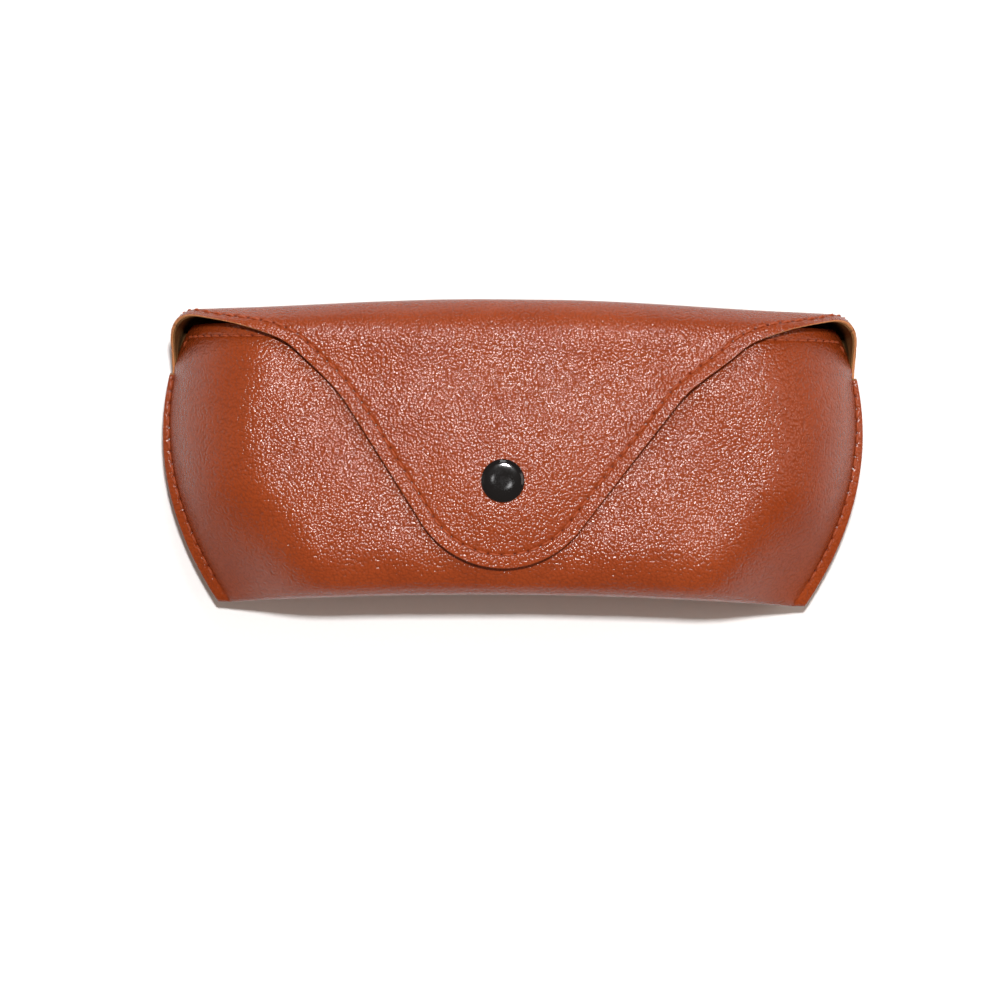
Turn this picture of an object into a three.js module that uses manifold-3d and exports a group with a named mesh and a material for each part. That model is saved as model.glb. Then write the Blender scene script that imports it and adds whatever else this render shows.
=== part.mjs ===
// Soft pouch glasses case with a snap flap, lying on its back.
// One leather sheet makes the front, the bottom fold, the back, the top band and the flap.
// +X is the case's width, +Y points to the mouth and the band, +Z points up. Millimetres.
import * as THREE from 'three';
import { mergeVertices } from 'three/addons/utils/BufferGeometryUtils.js';
import Module from 'manifold-3d';

const wasm = await Module();
wasm.setup();

// Sheets
const LEATHER = 0.9;
const LINING = 0.4;
const GAP = 0.3; // between pieces that touch
const LINING_OUT = LEATHER + GAP;
const LINING_IN = LINING_OUT + LINING;
const THREAD_RADIUS = 0.25;
const THREAD_LIFT = GAP + THREAD_RADIUS;

// Pouch in plan
const HALF_WIDTH = 82.5; // at the outer edge of the side seams
const WIDEST_Y = 4.4;
const CORNER_Y = -35.6; // pointed bottom corners
const CORNER_HALF_WIDTH = 68.9;
const FOLD_Y = -33.1; // bottom fold at mid width
const NOTCH_Y = 18.2; // upper end of the side seams
const RIM_Y = 29.4; // mouth rim of the front panel
const RIM_END_Y = 17.8;
const RIM_DROP = 0.45; // share of the wall's height over which the rim drops to the notch
const SEAM_ALLOWANCE_BOTTOM = 3.0;
const SEAM_ALLOWANCE_TOP = 1.2;
const RIM_SETBACK = 0.9; // how far the front's side edge steps in above the notch
const NOTCH_HALF_WIDTH = 80.4;

// Pouch in height
const FRONT_Z = 37; // crown of the front panel
const FRONT_CROWN = 0.9; // how much the front falls from mid width to its sides, before they roll off
const RIM_DROOP = 1.6; // how much the front falls towards the mouth rim
const RIM_DROOP_START_Y = 14;
const SEAM_Z = 10; // mid plane of the side seams
const FOLD_Z = 16; // height of the bottom fold at mid width
const FRONT_ROLL = 13; // depth in Y of the front's bottom roll
const BACK_ROLL = 11;
const FRONT_ROLL_START = 0.6; // share of the half width where the sides start to roll off
const BACK_ROLL_START = 0.66;
const SEAM_HALF = LEATHER + GAP / 2;

// Hood: the band over the mouth and the flap
const BAND_Y = 35.6;
const HOOD_Z = 40.2;
const REAR_RADIUS = 9;
const TOP_RADIUS = 10;
const HOOD_ROLL_START = 0.92; // of the band's ends
const TOP_ROLL_START = 0.86;
const BAND_ARCH = 0.19;
const TOP_ARCH = 0.08;
const FLAP_LIFT_TOP = 1.0; // between the front and the flap's lining, near the top bend
const FLAP_LIFT_SNAP = 3.0; // the same, at the snap

// Flap outline in the flat: x, and y as if the sheet went straight on past the top bend
const TIP_X = -2.2;
const TIP_Y = -26.8;
const TIP_RADIUS = 22.4;
const TIP_SWEEP = 0.97; // radians of arc on each side of the tip
const SHOULDER_END_Y = 51.6;
const RIGHT_SIDE = { straightEnd: [37.6, 10.9], flareEnd: [51.9, 23.4] };
const LEFT_SIDE = { straightEnd: [38.5, 10.9], flareEnd: [50.3, 23.4] };
const FLAP_HALF_WIDTH = 70; // where the flap meets the band

// Snap
const SNAP_X = -2.3;
const SNAP_Y = -6.7;
const CAP_RADIUS = 5;
const CAP_HEIGHT = 1.9;
const POST_RADIUS = 1.0;
const HOLE_RADIUS = 1.35;
const SOCKET_RADIUS = 4.6;
const SOCKET_MOUTH_RADIUS = 2.7;
const STUD_RADIUS = 4.2;
const ROUND_SIDES = 28;

const COLOURS = {
  leather: { color: 0xb2542c, roughness: 0.5, metalness: 0 },
  lining: { color: 0x6e4c2e, roughness: 0.95, metalness: 0 },
  thread: { color: 0x9c4524, roughness: 0.8, metalness: 0 },
  blackCap: { color: 0x0c0c0c, roughness: 0.15, metalness: 0.2 },
  metal: { color: 0x9a9488, roughness: 0.35, metalness: 1 },
};

const { abs, atan2, cos, max, min, PI, sin, sign, sqrt } = Math;
const clamp01 = (value) => min(1, max(0, value));
const lerp = THREE.MathUtils.lerp;
const smoothstep = THREE.MathUtils.smoothstep;
const range = (count) => [...Array(count).keys()];

// A quarter ellipse: 1 up to start, falling to 0 at position 1
function rollOff(position, start) {
  const along = clamp01((abs(position) - start) / (1 - start));
  return sqrt(1 - along ** 2);
}

// ---- Pouch surfaces; inset is the depth below the leather's outer face ----

function edgeHalfWidth(y) {
  const along = (y - WIDEST_Y) / (CORNER_Y - WIDEST_Y);
  return HALF_WIDTH - (HALF_WIDTH - CORNER_HALF_WIDTH) * along ** 2;
}

function seamAllowance(y) {
  const along = clamp01((y - CORNER_Y) / (NOTCH_Y - CORNER_Y));
  return lerp(SEAM_ALLOWANCE_BOTTOM, SEAM_ALLOWANCE_TOP, along);
}

const rimSetback = (y) => RIM_SETBACK * smoothstep(y, NOTCH_Y - 0.4, NOTCH_Y + 2);

const rootHalfWidth = (y) => edgeHalfWidth(y) - seamAllowance(y) - rimSetback(y);

const foldY = (a) => lerp(FOLD_Y, CORNER_Y, min(1, abs(a)) ** 2);

const middleZ = (a) => lerp(FOLD_Z, SEAM_Z, min(1, abs(a)) ** 2);

function rimY(a) {
  const height = rollOff(min(1, abs(a)), FRONT_ROLL_START);
  return RIM_Y - (RIM_Y - RIM_END_Y) * (1 - min(1, height / RIM_DROP)) ** 2;
}

// Across the pouch, a runs from -1 to 1 between the seams; beyond 1 lies the seam allowance
function pouchX(a, y, inset) {
  const across = min(1, abs(a));
  const wall = across * rootHalfWidth(y) - inset * across ** 8;
  const allowance = (abs(a) > 1 ? 1 : 0) * (seamAllowance(y) + inset);
  return sign(a) * (wall + allowance);
}

// How far the sheet has opened past the fold line, for the seam's two layers
function seamOpening(y, a, inset) {
  const layer = SEAM_HALF - inset;
  const past = clamp01((y - foldY(a) - inset) / SEAM_HALF);
  return layer * sqrt(1 - (1 - past) ** 2);
}

function bottomRoll(y, a, inset, depth) {
  const past = (y - foldY(a) - inset) / (depth - inset);
  return rollOff(max(0, 1 - past), 0);
}

function frontPoint(a, y, inset) {
  const base = middleZ(a) + seamOpening(y, a, inset);
  const droop = RIM_DROOP * smoothstep(y, RIM_DROOP_START_Y, RIM_Y);
  const crown = FRONT_Z - inset - FRONT_CROWN * clamp01(abs(a)) ** 2 - droop;
  const open = rollOff(min(1, abs(a)), FRONT_ROLL_START) * bottomRoll(y, a, inset, FRONT_ROLL);
  return new THREE.Vector3(pouchX(a, y, inset), y, base + (crown - base) * open);
}

function backPoint(a, y, inset) {
  const base = middleZ(a) - seamOpening(y, a, inset);
  const open = rollOff(min(1, abs(a)), BACK_ROLL_START) * bottomRoll(y, a, inset, BACK_ROLL);
  return new THREE.Vector3(pouchX(a, y, inset), y, base + (inset - base) * open);
}

// ---- Hood surface: a closed pillow round a pole at each notch ----

const BACK_LENGTH = BAND_Y - REAR_RADIUS - NOTCH_Y;
const REAR_END = BACK_LENGTH + REAR_RADIUS * PI / 2;
const BAND_END = REAR_END + HOOD_Z - REAR_RADIUS - TOP_RADIUS;
const TOP_END = BAND_END + TOP_RADIUS * PI / 2;
const TOP_END_Y = BAND_Y - TOP_RADIUS;
const REAR_HINGE = BACK_LENGTH + REAR_RADIUS * PI / 4;
const TOP_HINGE = BAND_END + TOP_RADIUS * PI / 4;

// The sheet's path at mid width, by its length from the notch line on the back: y and z
function hoodPath(length, inset) {
  if (length < BACK_LENGTH) {
    return [NOTCH_Y + length, inset];
  }
  if (length < REAR_END) {
    const angle = (length - BACK_LENGTH) / REAR_RADIUS;
    const radius = REAR_RADIUS - inset;
    return [BAND_Y - REAR_RADIUS + radius * sin(angle), REAR_RADIUS - radius * cos(angle)];
  }
  if (length < BAND_END) {
    return [BAND_Y - inset, REAR_RADIUS + length - REAR_END];
  }
  if (length < TOP_END) {
    const angle = (length - BAND_END) / TOP_RADIUS;
    const radius = TOP_RADIUS - inset;
    return [TOP_END_Y + radius * cos(angle), HOOD_Z - TOP_RADIUS + radius * sin(angle)];
  }
  return [TOP_END_Y - (length - TOP_END), HOOD_Z - inset];
}

function hoodPoint(x, length, inset) {
  const a = min(1, abs(x) / NOTCH_HALF_WIDTH);
  const poleZ = SEAM_Z - SEAM_HALF + inset;
  const [pathY, pathZ] = hoodPath(length, inset);
  const outerPath = hoodPath(length, 0);
  const turn = atan2(outerPath[1] - (SEAM_Z - SEAM_HALF), outerPath[0] - NOTCH_Y);
  const facingBand = smoothstep(turn, -PI / 2, -0.15);
  const facingTop = smoothstep(turn, 0.2, 1.3);
  const rollStart = lerp(lerp(BACK_ROLL_START, HOOD_ROLL_START, facingBand), TOP_ROLL_START, facingTop);
  const arch = lerp(BAND_ARCH * facingBand, TOP_ARCH, facingTop);
  const scale = rollOff(a, rollStart) * (1 - arch * a ** 2);
  const y = NOTCH_Y + (pathY - NOTCH_Y) * scale;
  const z = poleZ + (pathZ - poleZ) * scale;
  return new THREE.Vector3(sign(x) * (a * NOTCH_HALF_WIDTH - inset * a ** 8), y, z);
}

// The flap leaves the hood's shape and follows the front panel at the height the snap needs
function flapPoint(x, length, inset) {
  const point = hoodPoint(x, length, inset);
  const lift = lerp(FLAP_LIFT_SNAP, FLAP_LIFT_TOP, smoothstep(point.y, 6, TOP_END_Y));
  const front = frontPoint(x / rootHalfWidth(point.y), point.y, 0);
  const drapedZ = front.z + lift + LINING_IN - inset;
  point.z = lerp(drapedZ, point.z, smoothstep(point.y, 8, TOP_END_Y));
  return point;
}

// ---- Flap outline ----

const OUTLINE_STEPS = 60;

function outlineSide({ straightEnd, flareEnd }, tipX) {
  const path = new THREE.Path();
  path.absarc(tipX, TIP_Y + TIP_RADIUS, TIP_RADIUS, -PI / 2, -PI / 2 + TIP_SWEEP);
  path.lineTo(...straightEnd);
  const [sx, sy] = straightEnd;
  const [fx, fy] = flareEnd;
  path.bezierCurveTo(sx + 3.2, sy + 4.6, fx - 4.6, fy - 3.2, fx, fy);
  path.bezierCurveTo(fx + 6.9, fy + 4.8, 78, 27.6, NOTCH_HALF_WIDTH, SHOULDER_END_Y);
  return path.getSpacedPoints(OUTLINE_STEPS);
}

const outlinePoints = [
  ...outlineSide(LEFT_SIDE, -TIP_X).map((p) => new THREE.Vector2(-p.x, p.y)).reverse(),
  ...outlineSide(RIGHT_SIDE, TIP_X).slice(1),
];

// Length along the sheet at which the outline cuts it, for a given x
function outlineLength(x) {
  const next = outlinePoints.findIndex((p) => p.x >= x);
  if (next <= 0) {
    return TOP_END + TOP_END_Y - SHOULDER_END_Y;
  }
  const [before, after] = [outlinePoints[next - 1], outlinePoints[next]];
  const y = lerp(before.y, after.y, (x - before.x) / (after.x - before.x));
  return TOP_END + TOP_END_Y - y;
}

// ---- Mesh building ----

function trianglesToGeometry(positions, indices) {
  const geometry = new THREE.BufferGeometry();
  geometry.setAttribute('position', new THREE.Float32BufferAttribute(positions, 3));
  geometry.setIndex(indices);
  return geometry;
}

function signedVolume(geometry) {
  const at = (i) => new THREE.Vector3().fromBufferAttribute(geometry.attributes.position, i);
  const index = geometry.index.array;
  let volume = 0;
  for (let i = 0; i < index.length; i += 3) {
    volume += at(index[i]).dot(at(index[i + 1]).cross(at(index[i + 2]))) / 6;
  }
  return volume;
}

// Shares equal corners, drops collapsed triangles and turns the faces outwards
function closeMesh(geometry) {
  geometry.deleteAttribute('normal');
  geometry.deleteAttribute('uv');
  const merged = mergeVertices(geometry, 1e-4);
  const index = merged.index.array;
  const kept = [];
  for (let i = 0; i < index.length; i += 3) {
    const [p, q, r] = index.slice(i, i + 3);
    if (p !== q && q !== r && r !== p) {
      kept.push(p, q, r);
    }
  }
  merged.setIndex(kept);
  if (signedVolume(merged) < 0) {
    merged.setIndex(kept.reverse());
  }
  return merged;
}

// A sheet between two grids of points, rows[j][i], closed along its four edges
function sheetGeometry(outer, inner) {
  const rows = outer.length;
  const columns = outer[0].length;
  const points = [...outer.flat(), ...inner.flat()];
  const at = (side, j, i) => side * rows * columns + j * columns + i;
  const indices = [];
  const quad = (p, q, r, s) => indices.push(p, q, r, p, r, s);
  for (let j = 0; j + 1 < rows; j++) {
    for (let i = 0; i + 1 < columns; i++) {
      quad(at(0, j, i), at(0, j, i + 1), at(0, j + 1, i + 1), at(0, j + 1, i));
      quad(at(1, j, i), at(1, j + 1, i), at(1, j + 1, i + 1), at(1, j, i + 1));
    }
    quad(at(0, j, 0), at(0, j + 1, 0), at(1, j + 1, 0), at(1, j, 0));
    quad(at(0, j + 1, columns - 1), at(0, j, columns - 1), at(1, j, columns - 1), at(1, j + 1, columns - 1));
  }
  for (let i = 0; i + 1 < columns; i++) {
    quad(at(0, 0, i + 1), at(0, 0, i), at(1, 0, i), at(1, 0, i + 1));
    quad(at(0, rows - 1, i), at(0, rows - 1, i + 1), at(1, rows - 1, i + 1), at(1, rows - 1, i));
  }
  return closeMesh(trianglesToGeometry(points.flatMap((p) => p.toArray()), indices));
}

function toSolid(geometry) {
  return new wasm.Manifold(new wasm.Mesh({
    numProp: 3,
    vertProperties: new Float32Array(geometry.attributes.position.array),
    triVerts: new Uint32Array(geometry.index.array),
  }));
}

function cutHole(geometry, bottomZ, height) {
  const drill = new THREE.CylinderGeometry(HOLE_RADIUS, HOLE_RADIUS, height, ROUND_SIDES);
  drill.rotateX(PI / 2);
  drill.translate(SNAP_X, SNAP_Y, bottomZ + height / 2);
  const cut = toSolid(geometry).subtract(toSolid(closeMesh(drill))).getMesh();
  return trianglesToGeometry(cut.vertProperties, [...cut.triVerts]);
}

// ---- Sheets of the pouch ----

const FLAT_STATIONS = [0, 0.12, 0.24, 0.36, 0.48];
const ROLL_STEPS = 10;
const rollStations = range(ROLL_STEPS + 1).map((k) => 0.6 + 0.4 * sin(k / ROLL_STEPS * PI / 2));
const halfStations = [...FLAT_STATIONS, ...rollStations];
const SEAM_EDGE = 1.1; // any value above 1 stands for the seam's outer edge

const mirrored = (stations) => [...stations.slice(1).map((a) => -a).reverse(), ...stations];

const BEND_STEPS = 5;
const FRONT_STEPS = 6;
const BACK_STEPS = 4;
const REAR_STEPS = 4;

// Y of each row between the fold and the end, dense where the bottom rolls over
function rowsFromFold(a, inset, depth, endY, flatSteps) {
  const start = foldY(a) + inset;
  const rollEnd = foldY(a) + depth;
  const bend = range(BEND_STEPS).map((k) => start + (rollEnd - start) * (1 - cos(k / BEND_STEPS * PI / 2)));
  const flat = range(flatSteps + 1).map((k) => lerp(rollEnd, endY, k / flatSteps));
  return [...bend, ...flat];
}

// One column of the folded sheet: mouth rim, front, bottom fold, back, up to the rear hinge
function pouchColumn(a, inset) {
  const across = min(1, abs(a));
  const front = rowsFromFold(a, inset, FRONT_ROLL, rimY(across), FRONT_STEPS);
  const back = rowsFromFold(a, inset, BACK_ROLL, NOTCH_Y, BACK_STEPS);
  const hoodX = sign(a) * across * NOTCH_HALF_WIDTH;
  const hood = range(REAR_STEPS).map((k) => (k + 1) / REAR_STEPS * (REAR_HINGE - GAP / 2));
  return [
    ...front.reverse().map((y) => frontPoint(a, y, inset)),
    ...back.slice(1).map((y) => backPoint(a, y, inset)),
    ...hood.map((length) => hoodPoint(hoodX, length, inset)),
  ];
}

function pouchSheet(stations, outerInset, innerInset) {
  const outer = stations.map((a) => pouchColumn(a, outerInset));
  const inner = stations.map((a) => pouchColumn(a, innerInset));
  return cutHole(sheetGeometry(outer, inner), FRONT_Z - 8, 10);
}

const pouchLeather = () => pouchSheet(mirrored([...halfStations, SEAM_EDGE]), 0, LEATHER);

const pouchLining = () => pouchSheet(mirrored(halfStations.slice(0, -3)), LINING_OUT, LINING_IN);

// ---- Sheets of the band and the flap ----

const BAND_STEPS = 7;
const BAND_HALF_WIDTH = NOTCH_HALF_WIDTH - 0.2; // clear of the pole, which the pouch holds

function bandSheet(outerInset, innerInset) {
  const start = REAR_HINGE + GAP / 2;
  const column = (a, inset) => {
    const x = a * BAND_HALF_WIDTH;
    const end = min(TOP_HINGE - GAP / 2, outlineLength(x));
    return range(BAND_STEPS + 1).map((k) => hoodPoint(x, lerp(start, end, k / BAND_STEPS), inset));
  };
  const stations = mirrored(halfStations);
  return sheetGeometry(stations.map((a) => column(a, outerInset)), stations.map((a) => column(a, innerInset)));
}

const FLAP_COLUMNS = 26;
const FLAP_STEPS = 11;

function flapSheet(outerInset, innerInset) {
  const start = TOP_HINGE + GAP / 2;
  const column = (i, inset) => {
    const x = lerp(-FLAP_HALF_WIDTH, FLAP_HALF_WIDTH, i / FLAP_COLUMNS);
    const end = outlineLength(x);
    return range(FLAP_STEPS + 1).map((k) => flapPoint(x, lerp(start, end, k / FLAP_STEPS), inset));
  };
  const columns = range(FLAP_COLUMNS + 1);
  const outer = columns.map((i) => column(i, outerInset));
  const inner = columns.map((i) => column(i, innerInset));
  return cutHole(sheetGeometry(outer, inner), HOOD_Z - 2, 8);
}

// ---- Stitching: each row of stitches is one plain thread along the leather ----

function threadGeometry(points, steps) {
  const section = new THREE.Shape(range(5).map((k) => {
    const angle = k / 5 * 2 * PI;
    return new THREE.Vector2(THREAD_RADIUS * cos(angle), THREAD_RADIUS * sin(angle));
  }));
  const path = new THREE.CatmullRomCurve3(points);
  return closeMesh(new THREE.ExtrudeGeometry(section, { steps, extrudePath: path, bevelEnabled: false }));
}

const STITCH_INSET = 3.1; // of the flap's and the mouth's stitches, from the sheet's edge

function seamStitching(side) {
  const points = range(13).map((k) => {
    const y = lerp(CORNER_Y + 4.5, NOTCH_Y - 1, k / 12);
    const x = edgeHalfWidth(y) - seamAllowance(y) + 0.7;
    return new THREE.Vector3(side * x, y, SEAM_Z + SEAM_HALF + THREAD_LIFT);
  });
  return threadGeometry(points, 24);
}

function mouthStitching() {
  const stations = mirrored([0, 0.2, 0.4, 0.55, 0.66, 0.76, 0.85, 0.92]);
  const points = stations.map((a) => {
    const point = frontPoint(a, rimY(a) - STITCH_INSET, 0);
    const outward = rollOff(a, FRONT_ROLL_START);
    const tilt = new THREE.Vector3(sign(a) * sqrt(1 - outward ** 2), 0, outward);
    return point.addScaledVector(tilt, THREAD_LIFT);
  });
  return threadGeometry(points, 44);
}

// The outline moved inwards in the flat by the stitch inset
function stitchLine() {
  return outlinePoints.map((p, i) => {
    const before = outlinePoints[max(0, i - 1)];
    const after = outlinePoints[min(outlinePoints.length - 1, i + 1)];
    const along = new THREE.Vector2().subVectors(after, before).normalize();
    return new THREE.Vector2(p.x - along.y * STITCH_INSET, p.y + along.x * STITCH_INSET);
  });
}

// Thread points on the outer face of the sheet, lifted along its normal
function onSheet(surface, flatPoint) {
  const length = TOP_END + TOP_END_Y - flatPoint.y;
  const step = 0.2;
  const point = surface(flatPoint.x, length, 0);
  const across = surface(flatPoint.x + step, length, 0).sub(point);
  const along = surface(flatPoint.x, length + step, 0).sub(point);
  const normal = across.cross(along).normalize();
  return point.addScaledVector(normal, -THREAD_LIFT);
}

function flapStitching() {
  const line = stitchLine().filter((p) => TOP_END + TOP_END_Y - p.y > TOP_HINGE + 2);
  return threadGeometry(line.filter((p, i) => i % 2 === 0).map((p) => onSheet(flapPoint, p)), 60);
}

function bandEdgeStitching(side) {
  const onBand = (p) => p.x * side > 0 && abs(p.x) < 77 && TOP_END + TOP_END_Y - p.y < TOP_HINGE - 2;
  const line = stitchLine().filter(onBand);
  return threadGeometry(line.map((p) => onSheet(hoodPoint, p)), 8);
}

// ---- Snap, turned about a vertical axis; profiles are radius and height pairs ----

const FRONT_AT_SNAP = frontPoint(SNAP_X / rootHalfWidth(SNAP_Y), SNAP_Y, 0).z;
const FLAP_INNER_AT_SNAP = FRONT_AT_SNAP + FLAP_LIFT_SNAP;
const FLAP_OUTER_AT_SNAP = FLAP_INNER_AT_SNAP + LINING_IN;
const STUD_Z = FRONT_AT_SNAP + GAP;
const SOCKET_TOP_Z = FLAP_INNER_AT_SNAP - GAP;

function turned(profile) {
  const points = profile.map(([radius, z]) => new THREE.Vector2(radius, z));
  const geometry = new THREE.LatheGeometry(points, ROUND_SIDES);
  geometry.rotateX(PI / 2);
  geometry.translate(SNAP_X, SNAP_Y, 0);
  return closeMesh(geometry);
}

function snapCap() {
  const seat = FLAP_OUTER_AT_SNAP + GAP;
  const dome = range(7).map((k) => {
    const angle = k / 6 * PI / 2;
    return [(CAP_RADIUS - 0.1) * cos(angle), seat + 0.5 + (CAP_HEIGHT - 0.5) * sin(angle)];
  });
  const postEnd = STUD_Z + 1.9;
  return turned([
    [0, postEnd],
    [POST_RADIUS, postEnd],
    [POST_RADIUS, seat],
    [CAP_RADIUS - 0.3, seat],
    [CAP_RADIUS, seat + 0.25],
    ...dome.slice(0, -1),
    [0, seat + CAP_HEIGHT],
  ]);
}

function snapSocket() {
  const bottom = STUD_Z + 0.7;
  const plate = SOCKET_TOP_Z - 0.4;
  return turned([
    [HOLE_RADIUS, SOCKET_TOP_Z],
    [SOCKET_RADIUS - 0.4, SOCKET_TOP_Z],
    [SOCKET_RADIUS, SOCKET_TOP_Z - 0.4],
    [SOCKET_RADIUS - 0.5, bottom],
    [SOCKET_MOUTH_RADIUS, bottom],
    [SOCKET_MOUTH_RADIUS, bottom + 0.3],
    [SOCKET_MOUTH_RADIUS + 1.1, bottom + 0.4],
    [SOCKET_MOUTH_RADIUS + 1.1, plate - 0.1],
    [SOCKET_MOUTH_RADIUS + 0.9, plate],
    [HOLE_RADIUS, plate],
    [HOLE_RADIUS, SOCKET_TOP_Z],
  ]);
}

function snapRingSpring() {
  const wire = 0.16;
  const centreZ = (STUD_Z + 1.1 + SOCKET_TOP_Z - 0.4) / 2;
  const section = range(7).map((k) => {
    const angle = k / 6 * 2 * PI;
    return [SOCKET_MOUTH_RADIUS + 0.4 + wire * cos(angle), centreZ + wire * sin(angle)];
  });
  return turned([...section.slice(0, -1), section[0]]);
}

function snapStud() {
  const top = STUD_Z + 1.6;
  return turned([
    [POST_RADIUS + GAP, STUD_Z],
    [STUD_RADIUS - 0.2, STUD_Z],
    [STUD_RADIUS, STUD_Z + 0.2],
    [STUD_RADIUS - 0.3, STUD_Z + 0.4],
    [1.75, STUD_Z + 0.4],
    [1.6, STUD_Z + 0.8],
    [1.8, STUD_Z + 1.2],
    [1.5, top],
    [0, top],
    [0, top - 0.3],
    [POST_RADIUS + GAP, top - 0.5],
    [POST_RADIUS + GAP, STUD_Z],
  ]);
}

function snapStudPost() {
  const washer = FRONT_AT_SNAP - LINING_IN - GAP;
  return turned([
    [0, washer - 0.5],
    [STUD_RADIUS - 0.4, washer - 0.5],
    [STUD_RADIUS, washer - 0.25],
    [STUD_RADIUS - 0.1, washer],
    [POST_RADIUS, washer],
    [POST_RADIUS, STUD_Z + 0.7],
    [0, STUD_Z + 0.7],
  ]);
}

// ---- The case ----

const group = new THREE.Group();

function addPart(name, geometry, look) {
  geometry.computeVertexNormals();
  const mesh = new THREE.Mesh(geometry, new THREE.MeshStandardMaterial(COLOURS[look]));
  mesh.name = name;
  group.add(mesh);
}

addPart('body_leather', pouchLeather(), 'leather');
addPart('body_lining', pouchLining(), 'lining');
addPart('band_leather', bandSheet(0, LEATHER), 'leather');
addPart('band_lining', bandSheet(LINING_OUT, LINING_IN), 'lining');
addPart('flap_leather', flapSheet(0, LEATHER), 'leather');
addPart('flap_lining', flapSheet(LINING_OUT, LINING_IN), 'lining');
addPart('mouth_stitching', mouthStitching(), 'thread');
addPart('flap_edge_stitching', flapStitching(), 'thread');
for (const [word, side] of [['left', -1], ['right', 1]]) {
  addPart(`side_seam_stitching_${word}`, seamStitching(side), 'thread');
  addPart(`band_edge_stitching_${word}`, bandEdgeStitching(side), 'thread');
}
addPart('snap_cap', snapCap(), 'blackCap');
addPart('snap_socket', snapSocket(), 'metal');
addPart('snap_ring_spring', snapRingSpring(), 'metal');
addPart('snap_stud', snapStud(), 'metal');
addPart('snap_stud_post', snapStudPost(), 'metal');

export default group;
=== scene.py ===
"""The looks of a soft pouch glasses case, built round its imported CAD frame.

One leather sheet makes the front, the bottom fold, the back, the hood over the mouth and the flap.
Surfaces are functions of the sheet's own coordinates, in millimetres, and go into Blender in metres.
"""
import math

import bmesh
import bpy
import numpy as np
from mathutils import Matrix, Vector


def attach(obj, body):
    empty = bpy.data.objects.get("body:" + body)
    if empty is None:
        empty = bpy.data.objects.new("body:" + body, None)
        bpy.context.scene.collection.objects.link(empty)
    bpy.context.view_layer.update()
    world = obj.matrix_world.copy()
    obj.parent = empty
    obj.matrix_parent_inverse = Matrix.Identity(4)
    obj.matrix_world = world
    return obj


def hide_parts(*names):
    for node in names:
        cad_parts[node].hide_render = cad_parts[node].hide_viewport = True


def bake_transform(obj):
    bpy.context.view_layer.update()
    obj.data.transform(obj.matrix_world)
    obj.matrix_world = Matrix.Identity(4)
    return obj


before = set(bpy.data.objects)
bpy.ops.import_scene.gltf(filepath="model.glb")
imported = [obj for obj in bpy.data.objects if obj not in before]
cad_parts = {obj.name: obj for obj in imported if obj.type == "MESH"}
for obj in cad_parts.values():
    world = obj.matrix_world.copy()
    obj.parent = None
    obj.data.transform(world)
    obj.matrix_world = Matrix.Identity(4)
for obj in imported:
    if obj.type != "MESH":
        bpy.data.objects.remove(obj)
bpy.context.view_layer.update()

MM = 0.001
PI = math.pi

# ---- The case's sizes in mm; the main ones are the CAD model's ----

LEATHER = 0.9
LINING_OUT = 0.93  # depth of the lining's glued face below the leather's outer face
LINING_IN = 1.33
HALF_WIDTH = 82.5
WIDEST_Y = 4.4
CORNER_Y = -35.6
CORNER_HALF_WIDTH = 69.2
FOLD_Y = -33.1
NOTCH_Y = 18.2
RIM_Y = 29.4
RIM_END_Y = 17.8
RIM_DROP = 0.45
SEAM_ALLOWANCE_BOTTOM = 3.2
SEAM_ALLOWANCE_TOP = 1.2
RIM_SETBACK = -0.5
NOTCH_HALF_WIDTH = 80.4
FRONT_Z = 37
FRONT_CROWN = 0.9
RIM_DROOP = 1.6
RIM_DROOP_START_Y = 14
SEAM_Z = 10
FOLD_Z = 16
FRONT_ROLL = 13
BACK_ROLL = 11
FRONT_ROLL_START = 0.68
BACK_ROLL_START = 0.66
FRONT_ROLL_POWER = 2.2  # above 2 a roll is boxier than an ellipse
FRONT_ROLL_SHARE = 0.93  # the front leaves its side seams at a slope, before the roll would be upright
BOTTOM_ROLL_POWER = 8
BOTTOM_CHAMFER = 0.17
CORNER_FLATTENING = 0.66
CORNER_REACH = 28
CORNER_START = 0.6  # the share of the half width where the bottom corners start to flatten
SEAM_HALF = 1.05
FLANGE_SLOPE = 0.42
BAND_Y = 35.6
HOOD_Z = 40.2
REAR_RADIUS = 9
TOP_RADIUS = 10
HOOD_ROLL_START = 0.92
TOP_ROLL_START = 0.9
HOOD_ROLL_POWER = 2.4
WING_FLARE = 1.1
HOOD_JOIN_LENGTH = 10  # over this length the hood takes over the back panel's section
BAND_LEAN_MIDDLE = 0.25
BAND_LEAN_END = 1.5
BAND_ARCH = 0.19
TOP_ARCH = 0.08
FLAP_LIFT_TOP = 1.0
FLAP_LIFT_SNAP = 3.0
FLAP_LIFT_MIDDLE = 2.2
FLAP_HOLD_REACH = 34  # distance from the snap at which it no longer holds the flap up
EDGE_CURL = 2.2  # how far the flap's right edge stands off further than its left
CURL_WIDTH = 14
CURL_START_X = (12, 40)
CURL_START_Y = (-24, 2)
CURL_END_Y = (14, 25)
FLAP_LIFT_EDGE = 1.6  # the flap's edge sinks closer to the front than its middle, which the snap holds up
TIP_X = -2.2
TIP_Y = -26.8
TIP_RADIUS = 22.4
TIP_SWEEP = 0.97
SHOULDER_END = (NOTCH_HALF_WIDTH, 51.6)
SHOULDER_PULL = (81, 29)
RIGHT_SIDE = ((37.6, 10.9), (51.9, 23.4))
LEFT_SIDE = ((38.5, 10.9), (50.3, 23.4))
TIP_SUPPORT_Y = -20.1  # the front starts to roll down here, and the flap's tip goes straighter on
TIP_HANG = 0.012
SPLIT_LENGTH = 32  # the hood and flap pieces meet here, on the band, where neither of them bends
SPLIT_RISE_X = 70
SPLIT_END_X = 78.3
SNAP_X = -2.3
SNAP_Y = -6.7
CAP_RADIUS = 5
CAP_RIM_HEIGHT = 0.78
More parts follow.
